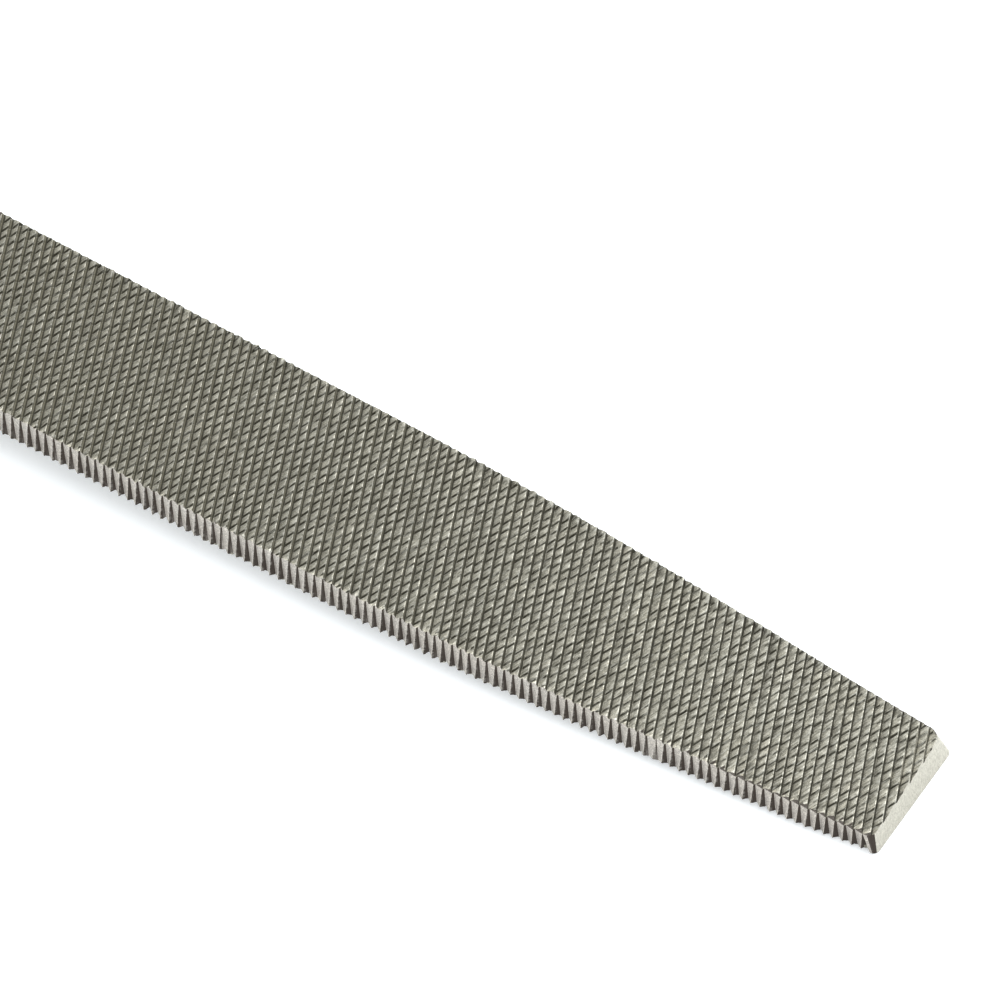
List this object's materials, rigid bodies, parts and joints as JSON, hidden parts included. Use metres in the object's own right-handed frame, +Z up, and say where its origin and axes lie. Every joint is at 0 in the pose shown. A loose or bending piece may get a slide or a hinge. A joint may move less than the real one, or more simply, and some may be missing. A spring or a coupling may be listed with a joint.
{
  "type": "flat file",
  "caption": "Flat metalworking hand file with double-cut faces, single-cut edges and a tapering point, its tang driven into a turned wooden handle with a steel ferrule.",
  "frame": {"origin": "centre of the bounding box, on the ground plane that the file rests on", "axes": "+X runs from the handle to the point, +Z is up; the file lies on the handle's belly and the lower edge of its point, so its own axis dips 2.73 degrees from the handle to the point"},
  "size_m": [0.3238, 0.031, 0.0313],
  "materials": {
    "blade_steel": "hardened grey steel with cut teeth, bare ground end face",
    "ferrule_steel": "satin plated steel",
    "handle_wood": "turned beech, thin clear lacquer"
  },
  "bodies": {
    "blade_body": {"file_blade": "blade_steel"},
    "handle_body": {"handle": "handle_wood", "ferrule": "ferrule_steel"}
  },
  "joints": [
    {"name": "handle_slide", "type": "slide", "parent": "blade_body", "child": "handle_body", "axis": [-0.9989, 0, 0.0476], "range_m": [0, 0.05]}
  ]
}
